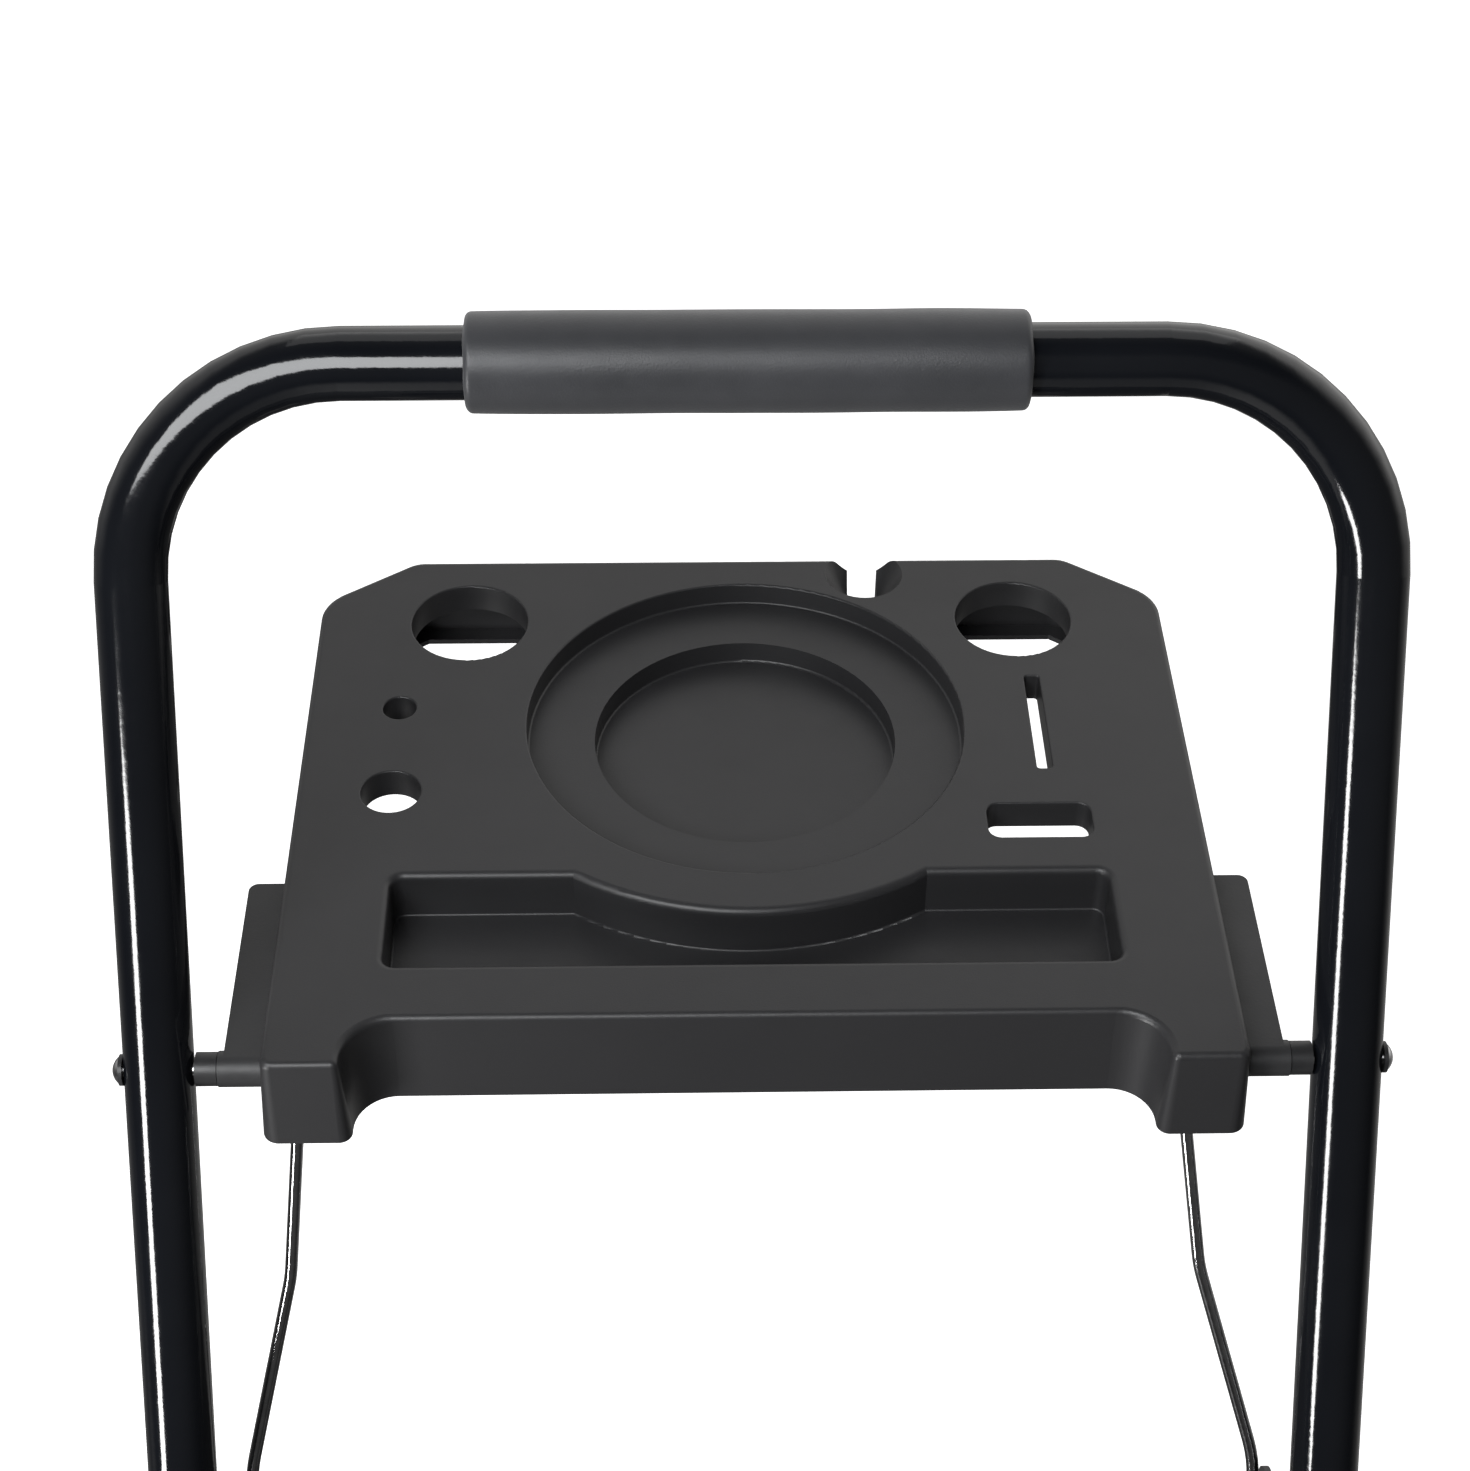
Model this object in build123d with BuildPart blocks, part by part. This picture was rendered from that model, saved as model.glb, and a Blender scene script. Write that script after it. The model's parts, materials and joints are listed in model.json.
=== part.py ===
from build123d import *
from math import cos, radians, sin, sqrt, tan
import os

os.makedirs("parts", exist_ok=True)

# Folding three-step ladder with a handrail and a tool tray, open, standing on z = 0.
# X is the width, -Y the side that is climbed, +Y the back. Millimetres and degrees.

# ---------------------------------------------------------------- overall sizes
platform_height = 700.0
rail_lean = 26.6           # front rails from the vertical, top towards the back
rear_lean = 19.0           # rear legs from the vertical, foot towards the back
rail_x = 224.9             # centre of each rail from the middle
hinge_to_tray = 380.0      # platform hinge to tray hinge, along the rails
tray_to_bar = 265.8        # tray hinge to the top bar, along the rails
hinge_to_pivot = 165.0     # platform hinge to the rear leg pivot, along the rails
pivot_back = 36.0          # rear leg pivot behind the rail axis

# ---------------------------------------------------------------- tubes and sheet
rail_radius = 13.25
rail_wall = 1.5
bend_radius = 78.0
leg_radius = 11.0
leg_wall = 1.2
bar_radius = 9.5
bar_wall = 1.2
middle_bar_height = 306.0
lower_bar_height = 117.0
sheet = 2.0

# ---------------------------------------------------------------- fits
running_gap = 0.1          # radial, pin in a turning hole
side_gap = 0.3             # between faces of parts that turn past each other
link_gap = 0.4             # radial, wire end in the platform plate

# ---------------------------------------------------------------- fasteners
pivot_bolt_radius = 4.0    # M8
tray_bolt_radius = 3.0     # M6
rivet_radius = 2.5
small_rivet_radius = 2.0
washer_sheet = 1.5
rear_pin_radius = 4.0

# ---------------------------------------------------------------- grip and feet
grip_radius = rail_radius + 5.05
grip_length = 200.0
grip_shift = -2.4          # grip's middle from the middle of the bar
foot_sole_x = 42.0
foot_sole_y = 48.0
foot_sole_height = 9.0
foot_wall = 4.0
sole_round = 9.0
groove_pitch = 10.0
groove_width = 3.0
groove_depth = 1.5
groove_count = 4
foot_height = 48.0
foot_floor = 14.0          # tube end above the floor, along the tube

# ---------------------------------------------------------------- platform and steps
rail_face = rail_x - rail_radius
platform_half_width = rail_face - 15.65
platform_front = 62.0      # in front of the platform hinge
platform_back = 190.0      # behind it
platform_drop = 33.0
hinge_below_top = 13.0
tube_below_flange = 5.0    # platform tube centre below the flange edge
step_front = 48.0
step_back = 37.0
step_drop = 28.0
saddle_depth = 0.8         # how far a step's end is pressed around the rail
mat_base = 1.5
mat_rib = 1.0
mat_margin = 12.0

# ---------------------------------------------------------------- tool tray, from its hinge axis
tray_top = 18.0
tray_half_width = rail_face - 27.25
tray_back = 287.3
tray_wall = 3.0
tray_drop = 41.0
tray_draft = 3.4           # degrees, skirt widens downwards
tray_rim = 2.6             # rounding of the outer top edge
lobe_inner_x = tray_half_width - 29.1
lobe_front = -15.0
lobe_front_centre = 8.2    # front wall between the lobes
lobe_sweep = 19.0          # radius of the curve from the front wall to a lobe
corner_x = tray_half_width - 39.3    # back corner chamfer, on the back edge
corner_y = tray_back - 28.0          # and on the side
pan_sheet = 2.5
ring_y = 177.3
ring_radius = 91.9
ring_depth = 10.5
cup_radius = 63.6
cup_depth = 10.5
trough_half_width = 142.5
trough_front = 36.3
trough_back = 85.0
trough_clear_ring = 22.1   # deck between the ring and the arc of the trough
trough_arc = 125.0
trough_depth = 22.0
trough_rim = 3.0
trough_corner = 5.0
hole_wall_depth = 13.0
big_hole = (119.1, 244.0)
big_hole_radius = 25.3
small_hole = (-145.9, 187.0)
small_hole_radius = 7.0
medium_hole = (-146.0, 134.7)
medium_hole_radius = 12.3
slot_centre = (123.5, 175.4)
slot_width = 6.5
slot_length = 59.0
slot_corner = 1.5
key_hole_centre = (118.2, 114.5)
key_hole_length = 42.6
key_hole_width = 19.8
key_hole_corner = 5.3
funnel_x = 55.2
funnel_y = 276.5
funnel_radius = 17.3
funnel_throat = 6.55
funnel_depth = 17.5
back_lip = 7.7             # flange turned in along the foot of the back wall
back_lip_sheet = 2.5
back_lip_from = 240.0
rim_edge = 0.8
floor_edge = 1.0

# ---------------------------------------------------------------- tray brackets and links
barrel_radius = 6.9
barrel_end = rail_face - 9.25        # outer end of the hinge barrel
barrel_inner = rail_face - 45.05
bracket_sheet = 1.5
bracket_inner = rail_face - 63.65
bracket_back = 92.7
bracket_notch = 14.0       # bracket narrows to the barrel in front of this
bracket_corner = 4.0
bracket_inset = 2.2        # bracket edge inside the barrel's end
collar_end_gap = 0.75
collar_radius = 6.5
link_radius = 2.5
link_behind = 12.6         # wire end from the hinge axis, both at the tray and at the platform
link_below = 24.0
link_top_x = {-1: rail_face - 36.15, 1: rail_face - 45.45}
link_top_slope = {-1: 0.085, 1: 0.125}
link_low_x = rail_face - 10.15
link_bend_low = 215.0      # wire starts to lean inwards here, along the rails
link_bend_high = 300.0     # and leans less from here to the tray
link_end_bend = 5.0
link_mid_bend = 60.0
ear_radius = 5.5
tab_sheet = 2.0

# ---------------------------------------------------------------- derived places
lean = radians(rail_lean)
splay = radians(rear_lean)
hinge_s = (platform_height - hinge_below_top) / cos(lean)
tray_s = hinge_s + hinge_to_tray
bar_s = tray_s + tray_to_bar
pivot_s = hinge_s + hinge_to_pivot
front_extent = foot_sole_y / 2
skirt_flare = tray_drop * tan(radians(tray_draft))
back_extent = tray_s * sin(lean) + tray_back + skirt_flare
rail_floor_y = (front_extent - back_extent) / 2


def on_rail(s, back=0.0):
    """(y, z) of a point s along the rails from the floor and back behind their axis."""
    y = rail_floor_y + s * sin(lean) + back * cos(lean)
    z = s * cos(lean) - back * sin(lean)
    return y, z


hinge_yz = on_rail(hinge_s)
tray_yz = on_rail(tray_s)
pivot_yz = on_rail(pivot_s, pivot_back)
link_low_yz = (hinge_yz[0] + link_behind, hinge_yz[1] - link_below)
link_top_yz = (tray_yz[0] + link_behind, tray_yz[1] - link_below)
leg_floor_y = pivot_yz[0] + pivot_yz[1] * tan(splay)
leg_length = pivot_yz[1] / cos(splay)


def on_leg(height):
    """(y, z) of the point of the rear leg axis at a height above the floor."""
    return leg_floor_y - height * tan(splay), height


tube_yz = on_leg(platform_height - platform_drop - tube_below_flange)
middle_bar_yz = on_leg(middle_bar_height)
lower_bar_yz = on_leg(lower_bar_height)

rail_plane = Plane(origin=(0, rail_floor_y, 0), x_dir=(1, 0, 0), z_dir=(0, -cos(lean), sin(lean)))


def rail_axis_plane(side):
    return Plane(origin=(side * rail_x, rail_floor_y, 0), x_dir=(1, 0, 0), z_dir=(0, sin(lean), cos(lean)))


def leg_axis_plane(side):
    return Plane(origin=(side * rail_x, leg_floor_y, 0), x_dir=(1, 0, 0), z_dir=(0, -sin(splay), cos(splay)))


# ---------------------------------------------------------------- shared shapes
def rod(plane, start, end, radius, mode=Mode.ADD):
    """Round bar along the normal of a plane, from start to end."""
    with BuildSketch(plane.offset(start)) as section:
        Circle(radius)
    extrude(section.sketch, amount=end - start, mode=mode)


def cross_rod(start_x, end_x, radius, yz, mode=Mode.ADD):
    """Round bar along X about the axis through yz."""
    with BuildSketch(Plane.YZ.offset(start_x)) as section:
        with Locations(yz):
            Circle(radius)
    extrude(section.sketch, amount=end_x - start_x, mode=mode)


def cross_ring(start_x, end_x, radius, bore, yz):
    """Washer, collar or tube along X."""
    with BuildSketch(Plane.YZ.offset(start_x)) as section:
        with Locations(yz):
            Circle(radius)
            Circle(bore, mode=Mode.SUBTRACT)
    extrude(section.sketch, amount=end_x - start_x)


def cross_nut(start_x, end_x, flats, bore, yz):
    """Hexagon nut along X."""
    with BuildSketch(Plane.YZ.offset(start_x)) as section:
        with Locations(yz):
            RegularPolygon(flats / 2, 6, major_radius=False)
            Circle(bore, mode=Mode.SUBTRACT)
    extrude(section.sketch, amount=end_x - start_x)


def dome_head(seat_x, side, radius, height, yz):
    """Dome head that stands on the plane x = side * seat_x and points outwards."""
    ball = (radius ** 2 + height ** 2) / (2 * height)
    y, z = yz
    with BuildSketch(Plane(origin=(side * seat_x, y, z), x_dir=(side, 0, 0), z_dir=(0, -side, 0))) as half:
        with BuildLine():
            base = Line((0, 0), (0, radius))
            crown = RadiusArc(base @ 1, (height, 0), ball)
            Line(crown @ 1, base @ 0)
        make_face()
    revolve(half.sketch, axis=Axis((side * seat_x, y, z), (side, 0, 0)), revolution_arc=360)


def finish(builder, label):
    """Names a finished piece and writes it."""
    builder.part.label = label
    export_step(builder.part, f"parts/{label}.step")


side_names = {-1: "left", 1: "right"}

step_tops = [platform_height / 3, platform_height * 2 / 3]
step_names = ["lower", "upper"]
step_rivet_drops = [8.5, 20.5]


def rail_at_height(z):
    """(y, z) of the rail axis at a height."""
    return rail_floor_y + z * tan(lean), z


step_rivet_places = [rail_at_height(top - drop) for top in step_tops for drop in step_rivet_drops]
bracket_half = 22.0
bracket_rivet_offset = 13.0
bracket_rivet_places = [on_rail(pivot_s + offset) for offset in (-bracket_rivet_offset, bracket_rivet_offset)]

# ================================================================ front frame
with BuildPart() as front_hoop_frame:
    with BuildLine(rail_plane) as hoop_path:
        FilletPolyline(
            (-rail_x, foot_floor),
            (-rail_x, bar_s),
            (rail_x, bar_s),
            (rail_x, foot_floor),
            radius=bend_radius,
        )
    with BuildSketch(rail_axis_plane(-1).offset(foot_floor)):
        Circle(rail_radius)
        Circle(rail_radius - rail_wall, mode=Mode.SUBTRACT)
    sweep()
    for side in (-1, 1):
        outer = side * (rail_x + 2 * rail_radius)
        inner = side * (rail_x - 2 * rail_radius)
        cross_rod(inner, outer, pivot_bolt_radius, hinge_yz, Mode.SUBTRACT)
        cross_rod(inner, outer, tray_bolt_radius, tray_yz, Mode.SUBTRACT)
        for place in step_rivet_places + bracket_rivet_places:
            cross_rod(inner, outer, rivet_radius, place, Mode.SUBTRACT)
finish(front_hoop_frame, "front_hoop_frame")

bar_y, bar_z = on_rail(bar_s)
grip_end_round = 2.5
with BuildPart() as foam_grip:
    grip_start = grip_shift - grip_length / 2
    cross_ring(grip_start, grip_start + grip_length, grip_radius, rail_radius, (bar_y, bar_z))
    fillet(foam_grip.edges().filter_by(GeomType.CIRCLE).group_by(SortBy.RADIUS)[-1], grip_end_round)
finish(foam_grip, "foam_grip")


def foot(axis_plane, floor_y, tube_radius):
    """Moulded boot: a socket around the tube end on a flat grooved sole."""
    with BuildSketch() as sole:
        with Locations((axis_plane.origin.X, floor_y)):
            RectangleRounded(foot_sole_x, foot_sole_y, sole_round)
    extrude(sole.sketch, amount=foot_sole_height)
    rod(axis_plane, -foot_sole_height, foot_height, tube_radius + foot_wall)
    split(bisect_by=Plane.XY, keep=Keep.TOP)
    rod(axis_plane, foot_floor, 2 * foot_height, tube_radius, Mode.SUBTRACT)
    with BuildSketch() as grooves:
        with Locations((axis_plane.origin.X, floor_y)):
            with GridLocations(0, groove_pitch, 1, groove_count):
                Rectangle(2 * foot_sole_x, groove_width)
    extrude(grooves.sketch, amount=groove_depth, mode=Mode.SUBTRACT)


for side, name in side_names.items():
    with BuildPart() as front_foot:
        foot(rail_axis_plane(side), rail_floor_y, rail_radius)
    finish(front_foot, f"front_foot_{name}")

# ---------------------------------------------------------------- steps
def pressed_tread(half_width, front_y, back_y, top, drop, corner, edge):
    """Sheet tread with a turned-down edge all round, open below."""
    depth = back_y - front_y
    middle = (front_y + back_y) / 2
    with BuildSketch(Plane.XY.offset(top)) as outline:
        with Locations((0, middle)):
            RectangleRounded(2 * half_width, depth, corner)
    extrude(outline.sketch, amount=-drop)
    fillet(faces().sort_by(Axis.Z)[-1].edges(), edge)
    with BuildSketch(Plane.XY.offset(top - sheet)) as hollow:
        with Locations((0, middle)):
            RectangleRounded(2 * (half_width - sheet), depth - 2 * sheet, corner - sheet)
    extrude(hollow.sketch, amount=-drop, mode=Mode.SUBTRACT)


def ribbed_mat(half_width, front_y, back_y, base_z):
    """Rubber mat with ribs across the tread."""
    rib_pitch = 8.0
    rib_width = 3.5
    corner = 8.0
    depth = back_y - front_y - 2 * mat_margin
    middle = (front_y + back_y) / 2
    width = 2 * (half_width - mat_margin)
    with BuildSketch(Plane.XY.offset(base_z)) as base:
        with Locations((0, middle)):
            RectangleRounded(width, depth, corner)
    extrude(base.sketch, amount=mat_base)
    rib_count = int((depth - corner) / rib_pitch)
    with BuildSketch(Plane.XY.offset(base_z + mat_base)) as ribs:
        with Locations((0, middle)):
            with GridLocations(0, rib_pitch, 1, rib_count):
                Rectangle(width - 2 * corner, rib_width)
    extrude(ribs.sketch, amount=mat_rib)


step_half_width = rail_face + saddle_depth
step_corner = 14.0
tread_edge = 3.0
for name, top in zip(step_names, step_tops):
    rail_y = rail_at_height(top)[0]
    with BuildPart() as step:
        pressed_tread(step_half_width, rail_y - step_front, rail_y + step_back, top, step_drop,
                      step_corner, tread_edge)
        for side in (-1, 1):
            rod(rail_axis_plane(side), foot_floor, bar_s, rail_radius, Mode.SUBTRACT)
            for drop in step_rivet_drops:
                inner = side * (step_half_width - 2 * sheet)
                cross_rod(inner, side * rail_x, rivet_radius, rail_at_height(top - drop), Mode.SUBTRACT)
    finish(step, f"step_{name}")
    with BuildPart() as mat:
        ribbed_mat(step_half_width, rail_y - step_front, rail_y + step_back, top)
    finish(mat, f"step_{name}_mat")

rivet_head_radius = 4.6
rivet_head_height = 2.2
with BuildPart() as step_rivets:
    for side in (-1, 1):
        for place in step_rivet_places:
            inner_face = step_half_width - sheet
            cross_rod(side * inner_face, side * (rail_x + rail_radius), rivet_radius, place)
            dome_head(rail_x + rail_radius, side, rivet_head_radius, rivet_head_height, place)
            dome_head(-inner_face, -side, rivet_head_radius, rivet_head_height, place)
finish(step_rivets, "step_rivets")

# ---------------------------------------------------------------- rear leg brackets
bracket_wall = 2.5
cheek_margin = 12.0
cheek_back = pivot_back + cheek_margin
cheek_round = 14.0
bracket_outer = rail_radius + bracket_wall
for side, name in side_names.items():
    with BuildPart() as hinge_bracket:
        with BuildSketch(rail_axis_plane(side).offset(pivot_s - bracket_half)):
            Circle(bracket_outer)
            with Locations((0, cheek_back / 2)):
                Rectangle(2 * bracket_outer, cheek_back)
            Circle(rail_radius, mode=Mode.SUBTRACT)
            with Locations((0, cheek_back / 2)):
                Rectangle(2 * rail_radius, cheek_back, mode=Mode.SUBTRACT)
        extrude(amount=2 * bracket_half)
        cheek_ends = hinge_bracket.edges().filter_by(Axis.X).group_by(Axis.Y)
        fillet(cheek_ends[-1] + cheek_ends[-2], cheek_round)
        inner = side * (rail_x - 2 * rail_radius)
        outer = side * (rail_x + 2 * rail_radius)
        cross_rod(inner, outer, rear_pin_radius, pivot_yz, Mode.SUBTRACT)
        for place in bracket_rivet_places:
            cross_rod(inner, outer, rivet_radius, place, Mode.SUBTRACT)
    finish(hinge_bracket, f"hinge_bracket_{name}")

with BuildPart() as bracket_rivets:
    for side in (-1, 1):
        for place in bracket_rivet_places:
            cross_rod(side * (rail_x - bracket_outer), side * (rail_x + bracket_outer), rivet_radius, place)
            dome_head(rail_x + bracket_outer, side, rivet_head_radius, rivet_head_height, place)
            dome_head(bracket_outer - rail_x, -side, rivet_head_radius, rivet_head_height, place)
finish(bracket_rivets, "bracket_rivets")

pin_head_radius = 7.0
pin_head_height = 2.6
with BuildPart() as rear_pivot_rivets:
    for side in (-1, 1):
        cross_rod(side * (rail_x - bracket_outer), side * (rail_x + bracket_outer), rear_pin_radius, pivot_yz)
        dome_head(rail_x + bracket_outer, side, pin_head_radius, pin_head_height, pivot_yz)
        dome_head(bracket_outer - rail_x, -side, pin_head_radius, pin_head_height, pivot_yz)
finish(rear_pivot_rivets, "rear_pivot_rivets")

pivot_washer_sheet = rail_radius - leg_radius - side_gap
rear_washer_radius = 9.0
with BuildPart() as rear_pivot_washers:
    for side in (-1, 1):
        for face in (rail_face, rail_x + rail_radius - pivot_washer_sheet):
            cross_ring(side * face, side * (face + pivot_washer_sheet), rear_washer_radius,
                       rear_pin_radius, pivot_yz)
finish(rear_pivot_washers, "rear_pivot_washers")

# ================================================================ rear frame
leg_above_pivot = 12.0
plug_cap = 1.5
plug_depth = 4.0
for side, name in side_names.items():
    with BuildPart() as rear_leg:
        rod(leg_axis_plane(side), foot_floor, leg_length + leg_above_pivot, leg_radius)
        rod(leg_axis_plane(side), 0, leg_length + 2 * leg_above_pivot, leg_radius - leg_wall, Mode.SUBTRACT)
        cross_rod(side * (rail_x - 2 * leg_radius), side * (rail_x + 2 * leg_radius),
                  rear_pin_radius + running_gap, pivot_yz, Mode.SUBTRACT)
    finish(rear_leg, f"rear_leg_{name}")
    with BuildPart() as rear_foot:
        foot(leg_axis_plane(side), leg_floor_y, leg_radius)
    finish(rear_foot, f"rear_foot_{name}")

with BuildPart() as rear_leg_plugs:
    for side in (-1, 1):
        top = leg_length + leg_above_pivot
        rod(leg_axis_plane(side), top, top + plug_cap, leg_radius)
        rod(leg_axis_plane(side), top - plug_depth, top, leg_radius - leg_wall)
finish(rear_leg_plugs, "rear_leg_plugs")

for name, place in (("platform_tube", tube_yz), ("middle_bar", middle_bar_yz), ("lower_bar", lower_bar_yz)):
    with BuildPart() as rear_bar:
        cross_ring(-rail_x, rail_x, bar_radius, bar_radius - bar_wall, place)
        for side in (-1, 1):
            rod(leg_axis_plane(side), 0, leg_length, leg_radius, Mode.SUBTRACT)
    finish(rear_bar, f"rear_{name}")

# ================================================================ platform
platform_front_y = hinge_yz[0] - platform_front
platform_back_y = hinge_yz[0] + platform_back
platform_corner = 18.0
hinge_plate_sheet = 2.5
hinge_plate_inner = platform_half_width - sheet - hinge_plate_sheet
plate_rivet_offsets = ((26.0, 1.0), (52.0, -4.0))
plate_rivet_places = [(hinge_yz[0] + y, hinge_yz[1] + z) for y, z in plate_rivet_offsets]
with BuildPart() as platform_pan:
    pressed_tread(platform_half_width, platform_front_y, platform_back_y, platform_height, platform_drop,
                  platform_corner, tread_edge)
    reach = platform_half_width + sheet
    cross_rod(-reach, reach, bar_radius + side_gap, tube_yz, Mode.SUBTRACT)
    cross_rod(-reach, reach, pivot_bolt_radius + running_gap, hinge_yz, Mode.SUBTRACT)
    for place in plate_rivet_places:
        cross_rod(-reach, reach, small_rivet_radius, place, Mode.SUBTRACT)
finish(platform_pan, "platform_pan")

with BuildPart() as platform_mat:
    ribbed_mat(platform_half_width, platform_front_y, platform_back_y, platform_height)
finish(platform_mat, "platform_mat")

plate_round = 9.5
for side, name in side_names.items():
    with BuildPart() as hinge_plate:
        with BuildSketch(Plane.YZ.offset(side * hinge_plate_inner)):
            with Locations(hinge_yz, *plate_rivet_places):
                Circle(plate_round)
            with Locations(link_low_yz):
                Circle(ear_radius)
            make_hull()
            with Locations(hinge_yz):
                Circle(pivot_bolt_radius + running_gap, mode=Mode.SUBTRACT)
            with Locations(link_low_yz):
                Circle(link_radius + link_gap, mode=Mode.SUBTRACT)
            with Locations(*plate_rivet_places):
                Circle(small_rivet_radius, mode=Mode.SUBTRACT)
        extrude(amount=side * hinge_plate_sheet)
    finish(hinge_plate, f"platform_hinge_plate_{name}")

small_head_radius = 3.8
small_head_height = 1.4
with BuildPart() as platform_rivets:
    for side in (-1, 1):
        for place in plate_rivet_places:
            cross_rod(side * hinge_plate_inner, side * platform_half_width, small_rivet_radius, place)
            dome_head(platform_half_width, side, small_head_radius, small_head_height, place)
            dome_head(-hinge_plate_inner, -side, small_head_radius, small_head_height, place)
finish(platform_rivets, "platform_rivets")

# ---------------------------------------------------------------- platform pivots
rail_outer_face = rail_x + rail_radius
pivot_washer_outer = rail_outer_face + washer_sheet
pivot_washer_inner = hinge_plate_inner - side_gap
pivot_nut_outer = pivot_washer_inner - washer_sheet
pivot_nut_height = 6.5
pivot_nut_flats = 13.0
bolt_past_nut = 1.0
pivot_bolt_end = pivot_nut_outer - pivot_nut_height - bolt_past_nut
bolt_head_radius = 7.2
bolt_head_height = 4.2
pivot_washer_radius = 8.5
with BuildPart() as platform_pivot_bolts:
    for side in (-1, 1):
        cross_rod(side * pivot_bolt_end, side * pivot_washer_outer, pivot_bolt_radius, hinge_yz)
        dome_head(pivot_washer_outer, side, bolt_head_radius, bolt_head_height, hinge_yz)
finish(platform_pivot_bolts, "platform_pivot_bolts")

with BuildPart() as platform_pivot_washers:
    for side in (-1, 1):
        for face in (rail_outer_face, pivot_nut_outer):
            cross_ring(side * face, side * (face + washer_sheet), pivot_washer_radius,
                       pivot_bolt_radius, hinge_yz)
finish(platform_pivot_washers, "platform_pivot_washers")

with BuildPart() as platform_pivot_nuts:
    for side in (-1, 1):
        cross_nut(side * (pivot_nut_outer - pivot_nut_height), side * pivot_nut_outer, pivot_nut_flats,
                  pivot_bolt_radius, hinge_yz)
finish(platform_pivot_nuts, "platform_pivot_nuts")

platform_collar_radius = 7.0
saddle_reach = 2.0         # collar reaches this far round the rail
for side, name in side_names.items():
    with BuildPart() as platform_collar:
        cross_ring(side * (platform_half_width + side_gap), side * (rail_face + saddle_reach),
                   platform_collar_radius, pivot_bolt_radius, hinge_yz)
        rod(rail_axis_plane(side), 0, bar_s, rail_radius, Mode.SUBTRACT)
    finish(platform_collar, f"platform_collar_{name}")

# ================================================================ tool tray
tray_y, tray_z = tray_yz
deck = Plane(origin=(0, tray_y, tray_z + tray_top))


def tray_outline(inset):
    """Outline of the tray deck: two front lobes with a curve between them and chamfered back corners."""
    lobe_round = 2.5
    front_round = 4.0
    side_round = 20.0
    back_round = 12.0
    half = tray_half_width
    with BuildSketch(deck.offset(-inset)) as outline:
        with BuildLine():
            FilletPolyline(
                (-lobe_inner_x, lobe_front_centre),
                (lobe_inner_x, lobe_front_centre),
                (lobe_inner_x, lobe_front),
                (half, lobe_front),
                (half, corner_y),
                (corner_x, tray_back),
                (-corner_x, tray_back),
                (-half, corner_y),
                (-half, lobe_front),
                (-lobe_inner_x, lobe_front),
                radius=[lobe_sweep, lobe_sweep, lobe_round, front_round, side_round, back_round,
                        back_round, side_round, front_round, lobe_round],
                close=True,
            )
        make_face()
        if inset:
            offset(amount=-inset, kind=Kind.INTERSECTION)
    return outline.sketch


def trough_outline(level, grow):
    """Trough whose back wall steps round the ring in an arc."""
    arc_radius = trough_arc - grow
    arc_centre = ring_y - ring_radius - trough_clear_ring + trough_arc
    back = trough_back + grow
    arc_x = sqrt(arc_radius ** 2 - (arc_centre - back) ** 2)
    half = trough_half_width + grow
    front = trough_front - grow
    with BuildSketch(deck.offset(level)) as outline:
        with BuildLine():
            Polyline((arc_x, back), (half, back), (half, front), (-half, front), (-half, back), (-arc_x, back))
            ThreePointArc((-arc_x, back), (0, arc_centre - arc_radius), (arc_x, back))
        make_face()
        ends = outline.vertices().sort_by(Axis.X)
        fillet(ends[:2] + ends[-2:], trough_corner + grow)
    return outline.sketch


def deck_circle(centre, radius, top, depth, mode=Mode.ADD):
    with BuildSketch(deck.offset(-top)) as disc:
        with Locations(centre):
            Circle(radius)
    extrude(disc.sketch, amount=-depth, mode=mode)


def deck_pill(centre, size_x, size_y, top, depth, corner, mode=Mode.ADD):
    with BuildSketch(deck.offset(-top)) as pill:
        with Locations(centre):
            RectangleRounded(size_x, size_y, corner)
    extrude(pill.sketch, amount=-depth, mode=mode)


def deck_funnel(grow, top, mode):
    """Cone that narrows downwards to the throat."""
    centre = deck.from_local_coords((funnel_x, funnel_y, -top))
    slope = (funnel_radius - funnel_throat) / funnel_depth
    start = funnel_radius + grow - slope * top
    with BuildSketch(Plane(origin=centre, x_dir=(1, 0, 0), z_dir=(0, -1, 0))) as profile:
        with BuildLine():
            Polyline((0, 0), (start, 0), (funnel_throat + grow, top - funnel_depth),
                     (0, top - funnel_depth), close=True)
        make_face()
    revolve(profile.sketch, axis=Axis(centre, (0, 0, 1)), revolution_arc=360, mode=mode)


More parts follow.
